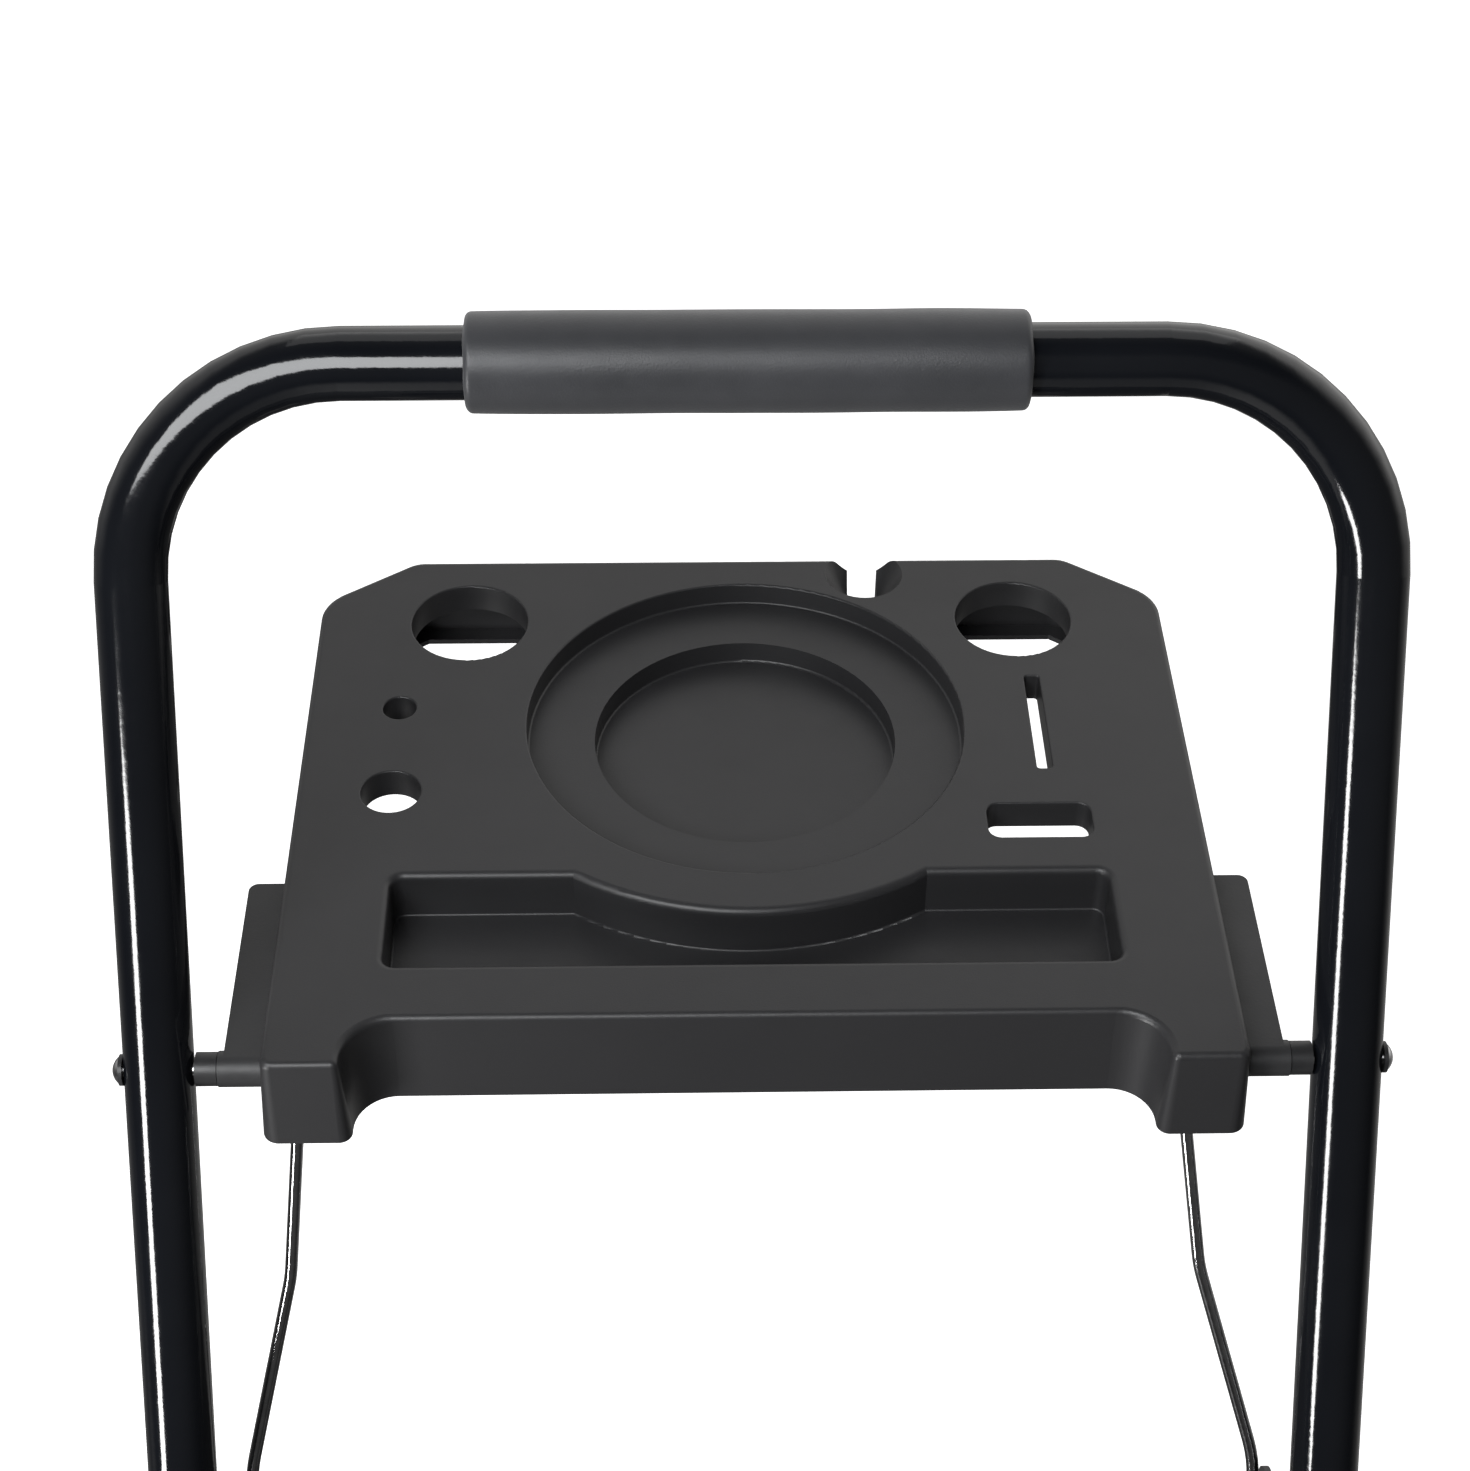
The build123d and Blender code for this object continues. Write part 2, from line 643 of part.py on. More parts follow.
screw_row_x = (bracket_inner + 7.0, bracket_inner + 24.0)
bracket_screws = ((screw_row_x[1], 34.0), (screw_row_x[1], 80.0), (screw_row_x[0], 57.0))
screw_places = [(side * x, y) for side in (-1, 1) for x, y in bracket_screws]
bracket_top = barrel_radius
boss_radius = 4.5
screw_radius = 2.0
screw_depth = 6.5
round_holes = [
    (big_hole, big_hole_radius),
    ((-big_hole[0], big_hole[1]), big_hole_radius),
    (small_hole, small_hole_radius),
    (medium_hole, medium_hole_radius),
]
slot_holes = [
    (slot_centre, slot_width, slot_length, slot_corner),
    (key_hole_centre, key_hole_length, key_hole_width, key_hole_corner),
]
rib_sheet = 2.0
rib_depth = hole_wall_depth - tray_wall
relief_gap = 1.0
with BuildPart() as tray_hollow:
    extrude(tray_outline(tray_wall), amount=-tray_drop, taper=-tray_draft)
    # pans, collars, bosses and ribs stay solid under the deck
    pan_top = tray_wall
    deck_circle((0, ring_y), ring_radius + pan_sheet, pan_top, ring_depth + pan_sheet - pan_top, Mode.SUBTRACT)
    deck_circle((0, ring_y), cup_radius + pan_sheet, pan_top, ring_depth + cup_depth + pan_sheet - pan_top,
                Mode.SUBTRACT)
    extrude(trough_outline(-pan_top, pan_sheet), amount=pan_top - trough_depth - pan_sheet, mode=Mode.SUBTRACT)
    for centre, radius in round_holes:
        deck_circle(centre, radius + pan_sheet, pan_top, hole_wall_depth - pan_top, Mode.SUBTRACT)
    for centre, size_x, size_y, corner in slot_holes:
        deck_pill(centre, size_x + 2 * pan_sheet, size_y + 2 * pan_sheet, pan_top,
                  hole_wall_depth - pan_top, corner + pan_sheet, Mode.SUBTRACT)
    deck_funnel(pan_sheet, pan_top, Mode.SUBTRACT)
    for centre in screw_places:
        deck_circle(centre, boss_radius, pan_top, tray_top - pan_top - bracket_top, Mode.SUBTRACT)
    rib_y = cup_radius / 2
    rib_start = sqrt(ring_radius ** 2 - rib_y ** 2)
    rib_length = tray_half_width - rib_start
    with BuildSketch(deck.offset(-pan_top)) as ribs:
        with Locations((0, ring_y)):
            with GridLocations(2 * rib_start + rib_length, 2 * rib_y, 2, 2):
                Rectangle(rib_length, rib_sheet)
        with Locations((0, (ring_y + ring_radius + tray_back) / 2)):
            Rectangle(rib_sheet, tray_back - ring_y - ring_radius)
    extrude(ribs.sketch, amount=-rib_depth, mode=Mode.SUBTRACT)
    lip_half = tray_half_width + skirt_flare
    lip_back = tray_back + skirt_flare
    with BuildSketch(deck.offset(-tray_drop)) as lip:
        with Locations((0, (back_lip_from + lip_back) / 2)):
            Rectangle(2 * lip_half, lip_back - back_lip_from)
        with BuildSketch(deck.offset(-tray_drop), mode=Mode.SUBTRACT):
            with BuildLine():
                Polyline((-lip_half, 0), (lip_half, 0), (lip_half, corner_y), (corner_x, lip_back),
                         (-corner_x, lip_back), (-lip_half, corner_y), close=True)
            make_face()
            offset(amount=-tray_wall - back_lip, kind=Kind.INTERSECTION)
    extrude(lip.sketch, amount=back_lip_sheet, mode=Mode.SUBTRACT)

with BuildPart() as tool_tray:
    extrude(tray_outline(0), amount=-tray_drop, taper=-tray_draft)
    fillet(tool_tray.faces().sort_by(Axis.Z)[-1].edges(), tray_rim)
    add(tray_hollow.part, mode=Mode.SUBTRACT)

    # recesses and holes in the deck
    deck_circle((0, ring_y), ring_radius, 0, ring_depth, Mode.SUBTRACT)
    deck_circle((0, ring_y), cup_radius, 0, ring_depth + cup_depth, Mode.SUBTRACT)
    extrude(trough_outline(0, 0), amount=-trough_depth, mode=Mode.SUBTRACT)
    for centre, radius in round_holes:
        deck_circle(centre, radius, 0, tray_drop, Mode.SUBTRACT)
    for centre, size_x, size_y, corner in slot_holes:
        deck_pill(centre, size_x, size_y, 0, tray_drop, corner, Mode.SUBTRACT)
    for centre in screw_places:
        deck_circle(centre, screw_radius, tray_top - bracket_top - screw_depth, screw_depth, Mode.SUBTRACT)

    # floors and rims of the recesses are rounded
    for floor_depth in (trough_depth, ring_depth + cup_depth, ring_depth):
        level = tray_z + tray_top - floor_depth
        floor = tool_tray.faces().filter_by(Axis.Z).sort_by(lambda face: abs(face.center().Z - level))[0]
        fillet(floor.outer_wire().edges(), floor_edge)
    rims = tool_tray.faces().sort_by(Axis.Z)[-1].inner_wires().sort_by(lambda rim: rim.bounding_box().size.X)
    fillet(rims[-1].edges(), trough_rim)
    rims = tool_tray.faces().sort_by(Axis.Z)[-1].inner_wires().sort_by(lambda rim: rim.bounding_box().size.X)
    fillet([edge for rim in rims[:-1] for edge in rim.edges()], rim_edge)

    # funnel notch, open through the back skirt
    deck_funnel(0, 0, Mode.SUBTRACT)
    throat_back = tray_back + 2 * tray_wall
    deck_circle((funnel_x, funnel_y), funnel_throat, 0, 2 * tray_drop, Mode.SUBTRACT)
    deck_pill((funnel_x, (funnel_y + throat_back) / 2), 2 * funnel_throat, throat_back - funnel_y, 0,
              2 * tray_drop, rim_edge, Mode.SUBTRACT)

    # relief in the side skirts for the brackets and their barrels
    relief_front = -barrel_radius - relief_gap
    relief_back = bracket_back + relief_gap
    relief_outer = tray_half_width + 2 * skirt_flare
    relief_inner = tray_half_width - 2 * tray_wall
    with BuildSketch(deck.offset(bracket_top - tray_top)) as relief:
        with Locations((0, (relief_front + relief_back) / 2)):
            with GridLocations(relief_inner + relief_outer, 0, 2, 1):
                Rectangle(relief_outer - relief_inner, relief_back - relief_front)
    extrude(relief.sketch, amount=-tray_drop, mode=Mode.SUBTRACT)
finish(tool_tray, "tool_tray")

# ---------------------------------------------------------------- tray brackets
for side, name in side_names.items():
    tab_x = link_top_x[side] - link_end_bend - link_gap
    tab_height = link_below + bracket_top - bracket_sheet
    with BuildPart() as tray_bracket:
        with BuildSketch(Plane(origin=(0, tray_y, tray_z + bracket_top))):
            outer_x = side * (barrel_end - bracket_inset)
            with BuildLine():
                Polyline((side * barrel_inner, 0), (outer_x, 0), (outer_x, bracket_back),
                         (side * bracket_inner, bracket_back), (side * bracket_inner, bracket_notch),
                         (side * barrel_inner, bracket_notch), close=True)
            make_face()
            corners = vertices().group_by(Axis.Y)[-1]
            fillet(corners, bracket_corner)
        extrude(amount=-bracket_sheet)
        cross_rod(side * barrel_inner, side * barrel_end, barrel_radius, tray_yz)
        with BuildSketch(Plane.YZ.offset(side * (tab_x - tab_sheet))) as tab:
            with Locations(link_top_yz):
                Circle(ear_radius)
                Rectangle(2 * ear_radius, tab_height, align=(Align.CENTER, Align.MIN))
        extrude(tab.sketch, amount=side * tab_sheet)
        for bore, place in ((tray_bolt_radius, tray_yz), (link_radius, link_top_yz)):
            cross_rod(side * bracket_inner, side * rail_x, bore + running_gap, place, Mode.SUBTRACT)
        for centre in screw_places:
            if centre[0] * side > 0:
                with Locations((centre[0], tray_y + centre[1], tray_z + bracket_top)):
                    Cylinder(screw_radius, 4 * bracket_sheet, mode=Mode.SUBTRACT)
    finish(tray_bracket, f"tray_bracket_{name}")

screw_head_radius = 3.8
screw_head_height = 2.2
with BuildPart() as tray_screws:
    for x, y in screw_places:
        seat = Plane(origin=(x, tray_y + y, tray_z + bracket_top - bracket_sheet))
        rod(seat, 0, bracket_sheet + screw_depth, screw_radius)
        rod(seat, -screw_head_height, 0, screw_head_radius)
finish(tray_screws, "tray_screws")

# ---------------------------------------------------------------- tray pivots
dome_radius = 5.5
dome_height = 2.8
tray_washer_sheet = 1.5
tray_washer_radius = 6.0
tray_nut_outer = barrel_inner - side_gap
tray_nut_height = 6.0
tray_nut_flats = 10.0
tray_bolt_past_nut = 0.5
with BuildPart() as tray_pivot_bolts:
    for side in (-1, 1):
        inner_end = tray_nut_outer - tray_nut_height - tray_bolt_past_nut
        cross_rod(side * inner_end, side * (rail_outer_face + tray_washer_sheet), tray_bolt_radius, tray_yz)
        dome_head(rail_outer_face + tray_washer_sheet, side, dome_radius, dome_height, tray_yz)
finish(tray_pivot_bolts, "tray_pivot_bolts")

with BuildPart() as tray_pivot_washers:
    for side in (-1, 1):
        cross_ring(side * rail_outer_face, side * (rail_outer_face + tray_washer_sheet), tray_washer_radius,
                   tray_bolt_radius, tray_yz)
finish(tray_pivot_washers, "tray_pivot_washers")

with BuildPart() as tray_pivot_nuts:
    for side in (-1, 1):
        cross_nut(side * (tray_nut_outer - tray_nut_height), side * tray_nut_outer, tray_nut_flats,
                  tray_bolt_radius, tray_yz)
finish(tray_pivot_nuts, "tray_pivot_nuts")

for side, name in side_names.items():
    collar_start = barrel_end + side_gap
    with BuildPart() as tray_collar:
        cross_ring(side * collar_start, side * (rail_face - collar_end_gap), collar_radius,
                   tray_bolt_radius, tray_yz)
    finish(tray_collar, f"tray_collar_{name}")

# ================================================================ wire links
link_low_s = hinge_s - link_below * cos(lean) + link_behind * sin(lean)
link_back = link_behind * cos(lean) + link_below * sin(lean)
link_plane = Plane(origin=(0, *on_rail(link_low_s, link_back)), x_dir=(1, 0, 0), z_dir=rail_plane.z_dir)
clip_radius = 5.0
clip_sheet = 1.0
clip_inset = 1.5
plate_play = 1.0
for side, name in side_names.items():
    top_x = link_top_x[side]
    bend_x = top_x + link_top_slope[side] * (hinge_to_tray - link_bend_high)
    low_leg_end = hinge_plate_inner - plate_play - clip_sheet - clip_inset
    top_leg_end = top_x - link_end_bend - link_gap - tab_sheet - plate_play - clip_sheet - clip_inset
    with BuildPart() as link_wire:
        with BuildLine(link_plane) as wire_path:
            FilletPolyline(
                (side * low_leg_end, 0),
                (side * link_low_x, 0),
                (side * link_low_x, link_bend_low),
                (side * bend_x, link_bend_high),
                (side * top_x, hinge_to_tray),
                (side * top_leg_end, hinge_to_tray),
                radius=[link_end_bend, link_mid_bend, link_mid_bend, link_end_bend],
            )
        with BuildSketch(Plane.YZ.offset(side * low_leg_end)):
            with Locations(link_low_yz):
                Circle(link_radius)
        sweep()
    finish(link_wire, f"link_wire_{name}")
    with BuildPart() as link_clips:
        low_clip = low_leg_end + clip_inset
        top_clip = top_leg_end + clip_inset
        cross_ring(side * low_clip, side * (low_clip + clip_sheet), clip_radius, link_radius, link_low_yz)
        cross_ring(side * top_clip, side * (top_clip + clip_sheet), clip_radius, link_radius, link_top_yz)
    finish(link_clips, f"link_clips_{name}")
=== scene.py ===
import json
import math

import bpy
from mathutils import Matrix, Vector, noise


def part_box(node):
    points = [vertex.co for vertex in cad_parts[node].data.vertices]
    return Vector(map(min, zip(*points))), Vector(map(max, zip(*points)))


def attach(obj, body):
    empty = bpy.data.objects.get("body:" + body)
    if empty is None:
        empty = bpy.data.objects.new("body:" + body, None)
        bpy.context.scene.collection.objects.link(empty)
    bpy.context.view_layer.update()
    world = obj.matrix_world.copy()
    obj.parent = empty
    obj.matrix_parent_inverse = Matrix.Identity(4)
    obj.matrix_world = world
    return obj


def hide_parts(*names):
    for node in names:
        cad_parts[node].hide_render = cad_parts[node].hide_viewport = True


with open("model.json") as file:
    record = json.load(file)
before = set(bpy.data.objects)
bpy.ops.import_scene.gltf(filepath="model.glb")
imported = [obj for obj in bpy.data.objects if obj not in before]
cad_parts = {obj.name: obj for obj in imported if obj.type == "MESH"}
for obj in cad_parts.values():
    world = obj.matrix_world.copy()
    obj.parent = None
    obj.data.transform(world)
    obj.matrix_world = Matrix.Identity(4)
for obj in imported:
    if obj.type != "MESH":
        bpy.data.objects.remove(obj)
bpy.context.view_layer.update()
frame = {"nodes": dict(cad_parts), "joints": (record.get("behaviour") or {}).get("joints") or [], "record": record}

scene = bpy.context.scene
scene.view_settings.view_transform = "Standard"
joint_at = {joint["name"]: Vector(joint["pos_m"]) for joint in frame["joints"]}
nodes = frame["nodes"]
MM = 0.001


# ---------------------------------------------------------------- node helpers
class Paint:
    """A procedural material under construction, in the object's own coordinates (metres)."""

    def __init__(self, name):
        self.material = bpy.data.materials.new(name)
        self.material.use_nodes = True
        self.tree = self.material.node_tree
        self.shader = self.tree.nodes["Principled BSDF"]
        self.place = self.tree.nodes.new("ShaderNodeTexCoord").outputs["Object"]

    def link(self, source, target):
        self.tree.links.new(source, target)

    def set(self, **values):
        for name, value in values.items():
            self.shader.inputs[name.replace("_", " ")].default_value = value

    def stretched(self, x, y, z):
        """Coordinates scaled along each axis, for brushed or ribbed grain."""
        node = self.tree.nodes.new("ShaderNodeMapping")
        self.link(self.place, node.inputs["Vector"])
        node.inputs["Scale"].default_value = (x, y, z)
        return node.outputs["Vector"]

    def noise(self, scale, detail=3.0, rough=0.55, place=None):
        node = self.tree.nodes.new("ShaderNodeTexNoise")
        self.link(place or self.place, node.inputs["Vector"])
        node.inputs["Scale"].default_value = scale
        node.inputs["Detail"].default_value = detail
        node.inputs["Roughness"].default_value = rough
        return node.outputs["Fac"]

    def cells(self, scale):
        node = self.tree.nodes.new("ShaderNodeTexVoronoi")
        self.link(self.place, node.inputs["Vector"])
        node.inputs["Scale"].default_value = scale
        return node.outputs["Distance"]

    def span(self, source, low, high, start=0.25, end=0.75):
        """Maps start..end of a texture to low..high."""
        node = self.tree.nodes.new("ShaderNodeMapRange")
        self.link(source, node.inputs["Value"])
        for name, value in (("From Min", start), ("From Max", end), ("To Min", low), ("To Max", high)):
            node.inputs[name].default_value = value
        return node.outputs["Result"]

    def ramp(self, source, *stops):
        """Colour from a value: stops are (position, colour)."""
        node = self.tree.nodes.new("ShaderNodeValToRGB")
        self.link(source, node.inputs["Fac"])
        elements = node.color_ramp.elements
        while len(elements) < len(stops):
            elements.new(0.5)
        for element, (position, colour) in zip(elements, stops):
            element.position = position
            element.color = (*colour, 1.0)
        return node.outputs["Color"]

    def colour(self, source):
        self.link(source, self.shader.inputs["Base Color"])

    def rough(self, source):
        self.link(source, self.shader.inputs["Roughness"])

    def relief(self, *layers):
        """Bump from (height, depth in metres) layers."""
        normal = None
        for height, depth in layers:
            node = self.tree.nodes.new("ShaderNodeBump")
            node.inputs["Strength"].default_value = 1.0
            node.inputs["Distance"].default_value = depth
            self.link(height, node.inputs["Height"])
            if normal:
                self.link(normal, node.inputs["Normal"])
            normal = node.outputs["Normal"]
        self.link(normal, self.shader.inputs["Normal"])


# ---------------------------------------------------------------- finishes
def gloss_paint():
    """Black gloss powder coat on the tubes: faint orange peel, dust and rub marks."""
    p = Paint("black_gloss_paint")
    p.colour(p.ramp(p.noise(9.0, 4.0), (0.3, (0.0040, 0.0046, 0.0062)), (0.7, (0.0062, 0.0070, 0.0090))))
    rub = p.noise(26.0, 6.0, 0.7)
    p.rough(p.span(rub, 0.09, 0.15, 0.35, 0.75))
    p.set(Coat_Weight=0.25, Coat_Roughness=0.06, IOR=1.5)
    p.relief((p.noise(240.0, 2.0), 0.00006), (p.noise(900.0, 2.0), 0.000012))
    return p.material


def satin_paint():
    """Satin black on brackets and hinge plates."""
    p = Paint("black_satin_paint")
    p.colour(p.ramp(p.noise(30.0, 5.0), (0.3, (0.022, 0.022, 0.023)), (0.7, (0.030, 0.030, 0.031))))
    p.rough(p.span(p.noise(120.0, 5.0, 0.7), 0.38, 0.52))
    p.set(IOR=1.48)
    p.relief((p.noise(700.0, 3.0), 0.00005))
    return p.material


def step_paint():
    """Black paint on the pressed treads, with light scuffs."""
    p = Paint("black_step_paint")
    scuff = p.noise(60.0, 8.0, 0.75, p.stretched(0.25, 1.0, 1.0))
    p.colour(p.ramp(scuff, (0.35, (0.010, 0.010, 0.011)), (0.62, (0.014, 0.014, 0.015)),
                    (0.8, (0.030, 0.030, 0.031))))
    p.rough(p.span(scuff, 0.28, 0.5, 0.35, 0.75))
    p.relief((p.noise(320.0, 3.0), 0.00005))
    return p.material


def moulded_plastic():
    """Charcoal tray plastic: fine spark-eroded grain with soft flow marks."""
    p = Paint("charcoal_plastic")
    flow = p.noise(7.0, 3.0, 0.5, p.stretched(1.0, 0.6, 1.0))
    p.colour(p.ramp(flow, (0.3, (0.0205, 0.0203, 0.0218)), (0.7, (0.0245, 0.0243, 0.0256))))
    p.rough(p.span(p.noise(45.0, 5.0, 0.65), 0.37, 0.45))
    p.set(IOR=1.5)
    p.relief((p.noise(1500.0, 3.0, 0.6), 0.00004), (p.noise(40.0, 2.0), 0.00008))
    return p.material


def satin_plastic():
    """Black collars, washers and plugs."""
    p = Paint("black_plastic")
    p.colour(p.ramp(p.noise(80.0, 3.0), (0.3, (0.016, 0.016, 0.017)), (0.7, (0.022, 0.022, 0.023))))
    p.rough(p.span(p.noise(200.0, 4.0), 0.34, 0.46))
    p.relief((p.noise(1200.0, 2.0), 0.00003))
    return p.material


def foam_rubber():
    """Closed-cell foam with a skinned, slightly pored surface."""
    p = Paint("foam_rubber")
    patch = p.noise(28.0, 4.0, 0.6)
    p.colour(p.ramp(patch, (0.3, (0.033, 0.034, 0.037)), (0.7, (0.042, 0.043, 0.047))))
    p.rough(p.span(p.noise(150.0, 4.0), 0.33, 0.41))
    p.set(Sheen_Weight=0.15, Sheen_Roughness=0.5, IOR=1.45)
    p.relief((p.noise(1700.0, 4.0, 0.7), 0.00006), (p.cells(1100.0), 0.00003),
             (p.noise(60.0, 2.0), 0.00012))
    return p.material


def tread_rubber():
    """Matte rubber mat, slightly dusty on the ribs."""
    p = Paint("mat_rubber")
    dust = p.noise(90.0, 6.0, 0.7)
    p.colour(p.ramp(dust, (0.35, (0.012, 0.012, 0.012)), (0.75, (0.026, 0.025, 0.024))))
    p.rough(p.span(dust, 0.62, 0.85))
    p.relief((p.noise(1300.0, 3.0), 0.00008))
    return p.material


def foot_rubber():
    """Moulded boots."""
    p = Paint("foot_rubber")
    scuff = p.noise(110.0, 6.0, 0.7)
    p.colour(p.ramp(scuff, (0.35, (0.010, 0.010, 0.010)), (0.75, (0.024, 0.023, 0.022))))
    p.rough(p.span(scuff, 0.5, 0.75))
    p.relief((p.noise(900.0, 3.0), 0.00007))
    return p.material


def bright_steel(name="bright_steel", low=0.14, high=0.30):
    """Bright zinc with a fine turned grain."""
    p = Paint(name)
    p.set(Metallic=1.0)
    tone = p.noise(160.0, 4.0, 0.6)
    p.colour(p.ramp(tone, (0.3, (0.50, 0.50, 0.51)), (0.7, (0.66, 0.66, 0.67))))
    p.rough(p.span(p.noise(500.0, 4.0, 0.7), low, high))
    p.relief((p.noise(1800.0, 2.0), 0.00001))
    return p.material


finishes = {
    "black_gloss": gloss_paint(),
    "foam": foam_rubber(),
    "black_satin": satin_paint(),
    "step_paint": step_paint(),
    "mat_rubber": tread_rubber(),
    "foot_rubber": foot_rubber(),
    "tray_plastic": moulded_plastic(),
    "black_plastic": satin_plastic(),
    "bright_steel": bright_steel(),
    "wire_steel": bright_steel("wire_steel", 0.10, 0.22),
}
for subpart in frame["record"]["subparts"]:
    piece = nodes.get(subpart["node"])
    if piece:
        for slot in piece.material_slots:
            slot.material = finishes[subpart["material_slot"]]


# ---------------------------------------------------------------- foam grip
def lathe(name, profile, segments):
    """Closed ring of (x, radius) points turned about the X axis."""
    count = len(profile)
    points = []
    faces = []
    for step in range(segments):
        angle = 2 * math.pi * step / segments
        for x, radius in profile:
            points.append((x, radius * math.cos(angle), radius * math.sin(angle)))
        for index in range(count):
            a = step * count + index
            b = step * count + (index + 1) % count
            c = ((step + 1) % segments) * count + (index + 1) % count
            d = ((step + 1) % segments) * count + index
            faces.append((a, b, c, d))
    mesh = bpy.data.meshes.new(name)
    mesh.from_pydata(points, [], faces)
    mesh.update()
    piece = bpy.data.objects.new(name, mesh)
    scene.collection.objects.link(piece)
    return piece


def rounded_end(end_x, inwards, outer, end_round):
    """Quarter circle from the outer surface of a sleeve round to its end face."""
    steps = 8
    points = []
    for step in range(steps + 1):
        angle = math.pi / 2 * step / steps
        points.append((end_x + inwards * end_round * (1 - math.sin(angle)),
                       outer - end_round * (1 - math.cos(angle))))
    return points


def make_grip():
    """Foam sleeve: softly rounded ends, a shallow crown and the unevenness of cut foam."""
    low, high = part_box("foam_grip")
    centre = (low + high) / 2
    half = (high.x - low.x) / 2
    outer = (high.z - low.z) / 2
    bore = 13.27 * MM
    end_round = 2.5 * MM
    bore_chamfer = 1.0 * MM
    chamfer_rise = 1.2 * MM
    face_inset = 0.3 * MM
    straight = 60
    profile = rounded_end(-half, 1, outer, end_round)[::-1]
    for step in range(1, straight):
        profile.append((-half + end_round + 2 * (half - end_round) * step / straight, outer))
    profile += rounded_end(half, -1, outer, end_round)
    profile.append((half - face_inset, bore + chamfer_rise))
    profile.append((half - bore_chamfer, bore))
    profile.append((-half + bore_chamfer, bore))
    profile.append((-half + face_inset, bore + chamfer_rise))
    piece = lathe("foam_grip_sleeve", profile, segments=96)

    skin_above_bore = 2 * MM
    wave_height = 0.22 * MM
    crown_drop = 0.35 * MM
    end_waver = 0.3 * MM
    for vertex in piece.data.vertices:
        x, y, z = vertex.co
        radius = math.hypot(y, z)
        if radius > bore + skin_above_bore:
            wave = noise.noise(Vector((x * 30, y * 40, z * 40))) * wave_height
            crown = -crown_drop * (abs(x) / half) ** 6
            scale = (radius + wave + crown) / radius
            waver = noise.noise(Vector((y * 90, z * 90, 3.0))) * end_waver * (abs(x) / half) ** 8
            vertex.co = (x + waver, y * scale, z * scale)
    piece.location = centre
    for face in piece.data.polygons:
        face.use_smooth = True
    piece.data.materials.append(finishes["foam"])
    smooth = piece.modifiers.new("smooth", "SUBSURF")
    smooth.levels = 1
    smooth.render_levels = 1
    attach(piece, "front_frame")
    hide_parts("foam_grip")


make_grip()


# ---------------------------------------------------------------- floor, light and camera
def make_floor():
    """Plain white floor. It is bright enough to hide the shadow, and kept out of reflections and
    bounced light, so the undersides and walls stay dark."""
    mesh = bpy.data.meshes.new("floor")
    reach = 30.0
    corners = [(-reach, -reach, 0), (reach, -reach, 0), (reach, reach, 0), (-reach, reach, 0)]
    mesh.from_pydata(corners, [], [(0, 1, 2, 3)])
    floor = bpy.data.objects.new("floor", mesh)
    scene.collection.objects.link(floor)
    p = Paint("floor_white")
    p.colour(p.ramp(p.noise(0.7, 2.0), (0.3, (0.86, 0.86, 0.86)), (0.7, (0.88, 0.88, 0.88))))
    p.rough(p.span(p.noise(4.0, 2.0), 0.75, 0.85))
    p.set(Emission_Color=(1.0, 1.0, 1.0, 1.0), Emission_Strength=0.95)
    mesh.materials.append(p.material)
    floor.visible_diffuse = False
    floor.visible_glossy = False


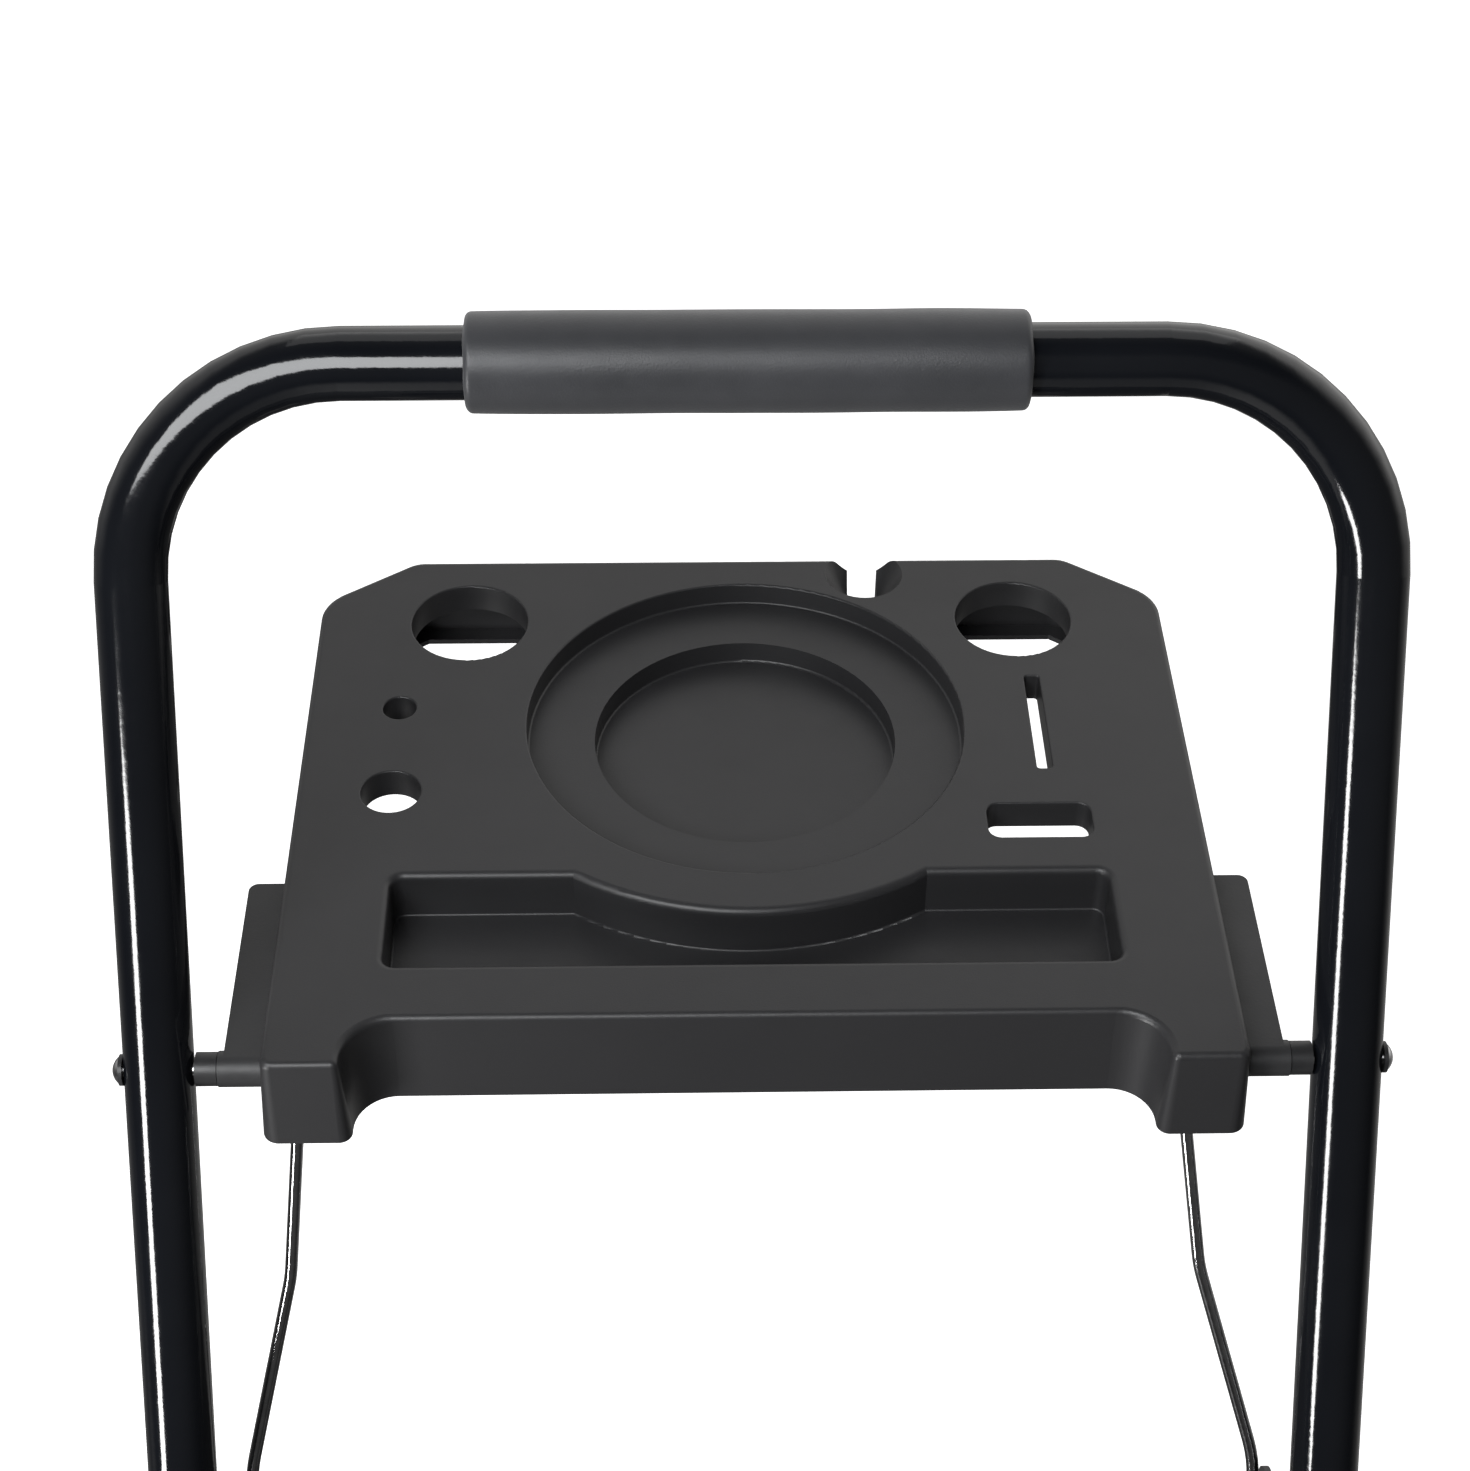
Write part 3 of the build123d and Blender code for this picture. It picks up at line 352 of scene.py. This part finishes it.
def make_world():
    """White all round to look at. As light it is strong behind and to the right, dim overhead and in
    front, with a soft fill from low in front on the left."""
    world = bpy.data.worlds.new("studio")
    world.use_nodes = True
    scene.world = world
    tree = world.node_tree
    tree.nodes.clear()
    out = tree.nodes.new("ShaderNodeOutputWorld")
    coords = tree.nodes.new("ShaderNodeTexCoord")
    split = tree.nodes.new("ShaderNodeSeparateXYZ")
    tree.links.new(coords.outputs["Generated"], split.inputs[0])

    def span(source, start, end, low, high):
        node = tree.nodes.new("ShaderNodeMapRange")
        node.interpolation_type = "SMOOTHSTEP"
        tree.links.new(source, node.inputs["Value"])
        for name, value in (("From Min", start), ("From Max", end), ("To Min", low), ("To Max", high)):
            node.inputs[name].default_value = value
        return node.outputs["Result"]

    def math_node(operation, a, b):
        node = tree.nodes.new("ShaderNodeMath")
        node.operation = operation
        for socket, value in zip(node.inputs, (a, b)):
            if isinstance(value, (int, float)):
                socket.default_value = value
            else:
                tree.links.new(value, socket)
        return node.outputs["Value"]

    behind = span(split.outputs["Y"], -0.25, 0.55, 0.07, 1.10)
    sideways = span(split.outputs["X"], -0.9, 0.6, 0.45, 1.0)
    below = span(split.outputs["Z"], -0.35, 0.05, 0.30, 1.0)
    above = span(split.outputs["Z"], 0.58, 0.80, 1.0, 0.15)
    heights = math_node("MULTIPLY", below, above)
    main = math_node("MULTIPLY", math_node("MULTIPLY", behind, sideways), heights)
    low = span(split.outputs["Z"], -0.60, -0.35, 0.42, 0.0)
    front = span(split.outputs["Y"], -0.30, 0.10, 1.0, 0.0)
    left = span(split.outputs["X"], -0.20, 0.15, 1.0, 0.35)
    front_low = math_node("MULTIPLY", math_node("MULTIPLY", low, front), left)
    light = math_node("ADD", main, front_low)
    studio = tree.nodes.new("ShaderNodeBackground")
    tree.links.new(light, studio.inputs["Strength"])
    studio.inputs["Color"].default_value = (1.0, 0.99, 0.975, 1.0)
    seen = tree.nodes.new("ShaderNodeBackground")
    seen.inputs["Color"].default_value = (1.0, 1.0, 1.0, 1.0)
    seen.inputs["Strength"].default_value = 1.0
    path = tree.nodes.new("ShaderNodeLightPath")
    mix = tree.nodes.new("ShaderNodeMixShader")
    tree.links.new(path.outputs["Is Camera Ray"], mix.inputs[0])
    tree.links.new(studio.outputs[0], mix.inputs[1])
    tree.links.new(seen.outputs[0], mix.inputs[2])
    tree.links.new(mix.outputs[0], out.inputs[0])


def softbox(name, place, target, width, height, power, colour=(1.0, 1.0, 1.0)):
    data = bpy.data.lights.new(name, "AREA")
    data.shape = "RECTANGLE"
    data.size = width
    data.size_y = height
    data.energy = power
    data.color = colour
    light = bpy.data.objects.new(name, data)
    light.location = place
    light.rotation_euler = (Vector(target) - Vector(place)).to_track_quat("-Z", "Y").to_euler()
    scene.collection.objects.link(light)


tray_hinge = joint_at["tray_fold"]


def make_lights():
    """A weak light behind, a broad one high on the left that shows on the bar and the grip, and a
    narrow one low on the left that draws the bright line down the rails."""
    tray_middle = tray_hinge + Vector((0, 0.13, 0.02))
    rail_middle = tray_middle + Vector((0, 0, -0.3))
    softbox("key_behind", tray_middle + Vector((0.1, 0.75, 1.35)), tray_middle,
            width=1.5, height=1.0, power=2.5)
    softbox("front_left_high", tray_middle + Vector((-0.65, -1.19, 1.20)), tray_middle,
            width=1.35, height=0.90, power=32.0, colour=(0.97, 0.985, 1.0))
    softbox("front_left_low", tray_middle + Vector((-1.23, -1.19, -0.22)), rail_middle,
            width=0.34, height=0.85, power=20.0)


def make_camera():
    """Looks down over the handrail from where the climber's head would be."""
    data = bpy.data.cameras.new("camera")
    data.sensor_fit = "HORIZONTAL"
    data.sensor_width = 36.0
    data.lens = 69.8
    data.clip_end = 100.0
    camera = bpy.data.objects.new("camera", data)
    right = Vector((0.99978, -0.02001, 0.00669))
    up = Vector((0.00820, 0.66071, 0.75060))
    forward = Vector((0.01944, 0.75037, -0.66073))
    place = tray_hinge + Vector((-0.02769, -0.72780, 0.80635))
    camera.matrix_world = Matrix((
        (right.x, up.x, -forward.x, place.x),
        (right.y, up.y, -forward.y, place.y),
        (right.z, up.z, -forward.z, place.z),
        (0, 0, 0, 1),
    ))
    scene.collection.objects.link(camera)
    scene.camera = camera


make_floor()
make_world()
make_lights()
make_camera()
